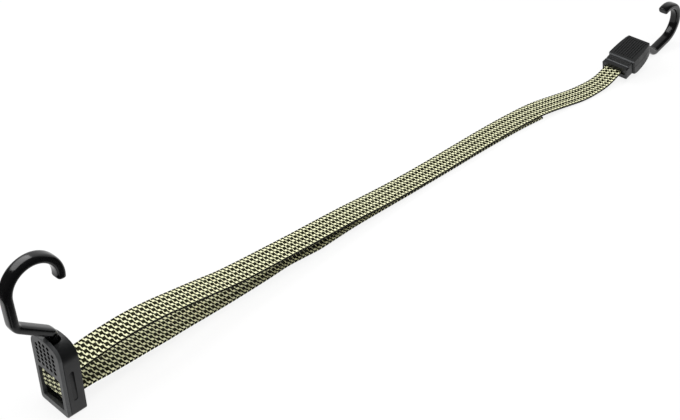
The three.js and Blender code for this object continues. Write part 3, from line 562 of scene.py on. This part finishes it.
def make_run():
    """The upper layer, from inside the adjuster's slot to just inside the far collar."""
    lead = np.array([[LOOP_JOIN_X * MM, 0, LOOP_TOP_Z * MM]])
    into_collar = (MOUTH + RUN_INTO_COLLAR * housing_along)[None] * MM
    route = np.vstack([lead, smooth_route(RUN_POINTS), into_collar])
    run, line = strap_piece("strap_run_webbing", route, pinched=True)
    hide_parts("strap_run")
    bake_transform(run)


def make_turn_and_tail():
    """The turn round the web and the lower layer, which ends in a heat-sealed cut under the run."""
    front = np.vstack([
        [[LOOP_JOIN_X - JOIN_GAP, LOOP_TOP_Z]],
        arc((LOOP_FRONT_X + LOOP_RADIUS, LOOP_TOP_Z - LOOP_RADIUS), LOOP_RADIUS, 90, 180),
        arc((LOOP_FRONT_X + LOOP_RADIUS, LOOP_BOTTOM_Z + LOOP_RADIUS), LOOP_RADIUS, 180, 270),
    ]) * MM
    turn = np.stack([front[:, 0], np.zeros(len(front)), front[:, 1]], 1)
    route = np.vstack([turn, smooth_route(TAIL_POINTS)])
    tail, line = strap_piece("strap_turn_and_tail_webbing", route, sealed=SEALED_RIM)
    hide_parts("strap_loop", "strap_tail")
    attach(tail, "adjuster")


def make_anchored_end():
    """The webbing's end inside the housing: over the anchor pin and tucked back under it."""
    side = np.vstack([[[END_START, 0], [END_RAMP, 0]], arc((ANCHOR_X, 0), ANCHOR_RADIUS, END_ON_PIN, -90),
                      [[ANCHOR_X - END_TUCK, -ANCHOR_RADIUS]]]) * MM
    line = MOUTH * MM + side[:, :1] * housing_along + side[:, 1:] * housing_up
    end, _ = strap_piece("strap_end_webbing", line)
    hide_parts("strap_end")
    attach(end, "far_end")


make_run()
make_turn_and_tail()
make_anchored_end()


# Hooks

def filleted(before, corner, after, radius):
    """A corner between two straight runs, rounded by a circle that touches both."""
    back, on = unit(before - corner), unit(after - corner)
    half = math.acos(float(np.clip(back @ on, -1, 1))) / 2
    middle = corner + unit(back + on) * radius / math.sin(half)
    first = corner + back * radius / math.tan(half) - middle
    last = corner + on * radius / math.tan(half) - middle
    start, end = math.atan2(first[1], first[0]), math.atan2(last[1], last[0])
    swing = math.atan2(math.sin(end - start), math.cos(end - start))
    return arc(middle, radius, math.degrees(start), math.degrees(start + swing))


def hook_line(neck):
    """The hook's centre line in its plane: neck, bend, leg, elbow, a straight that touches the crook,
    crook."""
    bend, elbow = np.zeros(2), np.array([LEG_RISE, -LEG_REACH])
    centre = np.array([CROOK_RISE, -CROOK_OFFSET])
    to_centre = centre - elbow
    reach = float(np.linalg.norm(to_centre))
    heading = math.atan2(to_centre[1], to_centre[0]) - math.asin(CROOK_RADIUS / reach)
    touch = elbow + math.sqrt(reach**2 - CROOK_RADIUS**2) * np.array([math.cos(heading), math.sin(heading)])
    foot = np.array([-neck, 0.0])
    start = math.degrees(math.atan2(*(touch - centre)[::-1]))
    return np.vstack([
        foot[None],
        filleted(foot, bend, elbow, NECK_FILLET),
        filleted(bend, elbow, touch, ELBOW_FILLET),
        arc(centre, CROOK_RADIUS, start, start + CROOK_SWEEP),
    ])


def hook_piece(name, node, neck, bend, shank, side):
    """The hook's coat: a round neck that flattens past the bend into a bar with rounded corners, a
    superellipse in section, carried along the hook's line and closed by a rounded tip. shank and side span
    its plane."""
    flat = even_steps(hook_line(neck), HOOK_STEP)
    along = unit(np.gradient(flat, axis=0))
    ease = np.radians(np.linspace(0, 90, TIP_RINGS + 1)[1:])
    flat = np.vstack([flat, flat[-1] + TIP_EASE * np.sin(ease)[:, None] * along[-1]])
    along = np.vstack([along, np.repeat(along[-1:], TIP_RINGS, axis=0)])
    barred = np.maximum.accumulate(np.clip((flat[:, 0] - BAR_START) / BAR_BLEND, 0, 1))
    shrink = np.append(np.zeros(len(flat) - TIP_RINGS), TIP_EASE * (1 - np.cos(ease)))
    thick = NECK_RADIUS + (BAR_THICK / 2 - NECK_RADIUS) * barred - shrink
    width = NECK_RADIUS + (BAR_WIDTH / 2 - NECK_RADIUS) * barred - shrink
    power = (2 / (2 + (BAR_SQUARENESS - 2) * barred))[:, None]
    turn = 2 * math.pi * np.arange(HOOK_SIDES) / HOOK_SIDES
    inward = thick[:, None] * np.sign(np.cos(turn)) * np.abs(np.cos(turn)) ** power
    high = width[:, None] * np.sign(np.sin(turn)) * np.abs(np.sin(turn)) ** power
    across = np.stack([-along[:, 1], along[:, 0]], 1)
    plane = flat[:, None] + across[:, None] * inward[..., None]
    third = np.cross(shank, side)
    grid = bend + plane[..., :1] * shank + plane[..., 1:] * side + high[..., None] * third
    piece = tube_mesh(name, grid * MM)
    piece.data.materials.append(COAT)
    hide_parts(node)
    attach(piece, body_of_node[node])


near_bend = np.array([0, 0, NEAR_BEND_Z])
far_bend = MOUTH + FAR_BEND * housing_along
hook_piece("near_hook", "near_hook_coat", NEAR_NECK, near_bend, UP, np.array([1.0, 0, 0]))
hook_piece("far_hook", "far_hook_coat", FAR_NECK, far_bend, housing_along, housing_up)


# Moulded pieces: the solids themselves, with their edges rounded as a mould leaves them

def of_faces(mesh, what):
    """The center, in metres, or the normal of each face."""
    values = np.empty(len(mesh.polygons) * 3, np.float32)
    mesh.polygons.foreach_get(what, values)
    return values.reshape(-1, 3)


def finish_dimples(mesh):
    """Opens the faceplate's dimples to the width that the photo shows, each point moving away from its
    dimple's middle by the same share, and gives the faces sunk in them a near-black painted shade."""
    middle = len(DIMPLES_IN_COLUMN) // 2
    places = np.array([((column - middle) * DIMPLE_COLUMN_PITCH, DIMPLE_FIELD_BOTTOM + row * DIMPLE_ROW_PITCH)
                       for column, count in enumerate(DIMPLES_IN_COLUMN) for row in range(count)])
    points = np.empty(len(mesh.vertices) * 3, np.float32)
    mesh.vertices.foreach_get("co", points)
    points = points.reshape(-1, 3) / MM
    away = points[:, None, 1:] - places[None]
    nearest = np.linalg.norm(away, axis=-1).argmin(1)
    offset = away[np.arange(len(points)), nearest]
    near = np.linalg.norm(offset, axis=1) < DIMPLE_RADIUS + DIMPLE_RIM
    near &= points[:, 0] < PLATE_BACK_X - PLATE_BACK_CLEAR
    points[near, 1:] += offset[near] * (DIMPLE_OPENING - 1)
    mesh.vertices.foreach_set("co", (points * MM).astype(np.float32).ravel())
    mesh.update()
    # The second material is painted shade, near-black, on the faces sunk in the dimples
    mesh.materials.append(PAINTED_SHADE_NYLON)
    centre = of_faces(mesh, "center") / MM
    half_width, lower, upper = DIMPLE_FIELD
    sunk = (centre[:, 0] > PLATE_FRONT_X + DIMPLE_SUNK) & (centre[:, 0] < PLATE_BACK_X - PLATE_BACK_CLEAR)
    in_field = (np.abs(centre[:, 1]) < half_width) & (centre[:, 2] > lower) & (centre[:, 2] < upper)
    mesh.polygons.foreach_set("material_index", (sunk & in_field).astype(np.int32))


def paint_edge_highlights(mesh):
    """Paints highlights, as a paler colour, on the slanting face along the upper cover's front edge and on
    the strip at the back of the collar's flange. Both are light lines in the photo."""
    facing = of_faces(mesh, "normal")
    centre = of_faces(mesh, "center") / MM - MOUTH
    along, high = centre @ housing_along, centre @ housing_up
    rim = (along > FLANGE_RIM[0]) & (along < FLANGE_RIM[1])
    rim &= (high > FLANGE_TOP - FLANGE_TOP_CLEAR) & (facing @ housing_up > HIGHLIGHT_FACING)
    slant = facing @ unit(housing_up - housing_along) > HIGHLIGHT_FACING
    mesh.materials.append(PAINTED_HIGHLIGHT_NYLON)
    mesh.polygons.foreach_set("material_index", (rim | slant).astype(np.int32))


def eased_moulding(node, edge, material):
    """A solid with its triangles merged and its flat faces joined, and its edges rounded by up to the given
    width in millimetres, less where they lie close together."""
    shell = bmesh.new()
    shell.from_mesh(nodes[node].data)
    bmesh.ops.remove_doubles(shell, verts=shell.verts, dist=MERGE_DISTANCE * MM)
    flat = math.radians(FLAT_ANGLE)
    bmesh.ops.dissolve_limit(shell, angle_limit=flat, verts=shell.verts, edges=shell.edges)
    if node == "strap_collar":
        # Cuts the flange's top where its painted highlight strip starts
        everything = shell.verts[:] + shell.edges[:] + shell.faces[:]
        rim_start = (MOUTH + FLANGE_RIM[0] * housing_along) * MM
        bmesh.ops.bisect_plane(shell, geom=everything, plane_no=housing_along, plane_co=rim_start)
    mesh = bpy.data.meshes.new(node + "_moulding")
    shell.to_mesh(mesh)
    shell.free()
    mesh.polygons.foreach_set("use_smooth", np.ones(len(mesh.polygons), bool))
    piece = placed(node + "_moulding", mesh)
    rounding = piece.modifiers.new("rounded_edges", "BEVEL")
    rounding.width = edge * MM
    rounding.segments = ROUNDING_SEGMENTS
    rounding.limit_method = "ANGLE"
    rounding.angle_limit = math.radians(SHARP_ANGLE)
    piece.modifiers.new("even_shading", "WEIGHTED_NORMAL")
    mesh.materials.append(material)
    if node == "adjuster_faceplate":
        finish_dimples(mesh)
    # Painted highlights along the upper cover's front edge and the collar's flange
    if node in ("upper_cover", "strap_collar"):
        paint_edge_highlights(mesh)
    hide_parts(node)
    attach(piece, body_of_node[node])


# The faceplate gets the nylon painted lighter as painted light; the other mouldings get the plain black nylon
for node, edge in EDGE_ROUNDING.items():
    eased_moulding(node, edge, PAINTED_LIGHT_PLATE_NYLON if node == "adjuster_faceplate" else NYLON)

for node in ("near_hook_core", "near_hook_washer", "far_hook_core", "far_hook_washer", "anchor_pin"):
    nodes[node].data.materials.clear()
    nodes[node].data.materials.append(STEEL)


# Studio: a pale floor that fades into a white backdrop, and soft light from above. Glossy faces see the white
# floor near the strap and the backdrop behind it, and a dark room beyond them

def ray_kinds(tree):
    """Whether a ray comes from the camera, and whether it comes off a glossy or through a clear surface."""
    rays = add(tree, "ShaderNodeLightPath").outputs
    mirrored = compute(tree, "MAXIMUM", rays["Is Glossy Ray"], rays["Is Transmission Ray"])
    return rays["Is Camera Ray"], mirrored


def white_paper():
    """White paper: to the camera mostly plain white, with the object's shadow on it; to glossy faces white
    near the strap and dim beyond."""
    material, tree, shader = surface("white_paper_sweep")
    shader.inputs["Base Color"].default_value = linear(FLOOR_COLOUR)
    shader.inputs["Roughness"].default_value = 0.9
    shader.inputs["Specular IOR Level"].default_value = 0.1
    camera, mirrored = ray_kinds(tree)
    share = compute(tree, "MULTIPLY_ADD", camera, FLOOR_WHITE_SHARE, mirrored)
    place = add(tree, "ShaderNodeTexCoord").outputs["Object"]
    spot = add(tree, "ShaderNodeSeparateXYZ", {0: place}).outputs
    sides = remap(tree, spot[1], *FLOOR_SIDE_FADE, FLOOR_DIM, 1.0, interpolation_type="SMOOTHSTEP")
    front = remap(tree, spot[0], *FLOOR_FRONT_FADE, FLOOR_DIM, 1.0, interpolation_type="SMOOTHSTEP")
    level = compute(tree, "MAXIMUM", compute(tree, "MINIMUM", sides, front), camera)
    white = add(tree, "ShaderNodeEmission", {"Color": (1, 1, 1, 1), "Strength": level})
    mixed = add(tree, "ShaderNodeMixShader", {0: share, 1: shader.outputs[0], 2: white.outputs[0]})
    tree.links.new(mixed.outputs[0], tree.nodes["Material Output"].inputs["Surface"])
    return material


def make_floor():
    """The floor, a plain square just under the object."""
    mesh = bpy.data.meshes.new("studio_floor")
    corners = [(x * FLOOR_HALF, y * FLOOR_HALF, FLOOR_Z) for x, y in ((-1, -1), (1, -1), (1, 1), (-1, 1))]
    mesh.from_pydata(corners, [], [(0, 1, 2, 3)])
    mesh.materials.append(white_paper())
    placed("studio_floor", mesh)


def make_world():
    """The surroundings: white to the camera, an even soft light on the object, and to glossy faces a white
    backdrop that darkens towards the dark side of the room."""
    world = bpy.data.worlds.new("studio")
    world.use_nodes = True
    bpy.context.scene.world = world
    tree = world.node_tree
    camera, mirrored = ray_kinds(tree)
    view = add(tree, "ShaderNodeTexCoord").outputs["Generated"]
    toward = add(tree, "ShaderNodeVectorMath", {0: view, 1: DARK_ROOM}, operation="DOT_PRODUCT")
    room = remap(tree, toward.outputs["Value"], *DARK_ROOM_FADE, 1.0, DARK_ROOM_LEVEL,
                 interpolation_type="SMOOTHSTEP")
    lit = mix_values(tree, mirrored, WORLD_LIGHT, room)
    background = tree.nodes["Background"]
    background.inputs["Color"].default_value = (1, 1, 1, 1)
    tree.links.new(mix_values(tree, camera, lit, 1.0), background.inputs["Strength"])


def make_softbox(name, place, size, power, mirrored):
    """A rectangular lamp that looks at the strap from its place."""
    lamp = bpy.data.lights.new(name, "AREA")
    lamp.shape = "RECTANGLE"
    lamp.size, lamp.size_y = size
    lamp.energy = power
    holder = placed(name, lamp)
    holder.location = place
    holder.visible_glossy = mirrored
    aim = np.array([place[0] * SOFTBOX_AIM[0], SOFTBOX_AIM[1], SOFTBOX_AIM[2]]) - np.array(place)
    drop = math.acos(-aim[2] / np.linalg.norm(aim))
    holder.rotation_euler = (drop, 0, math.atan2(aim[1], aim[0]) - math.pi / 2)


make_floor()
make_world()
for name, settings in SOFTBOXES.items():
    make_softbox(name, *settings)
bpy.context.scene.view_settings.view_transform = "Standard"
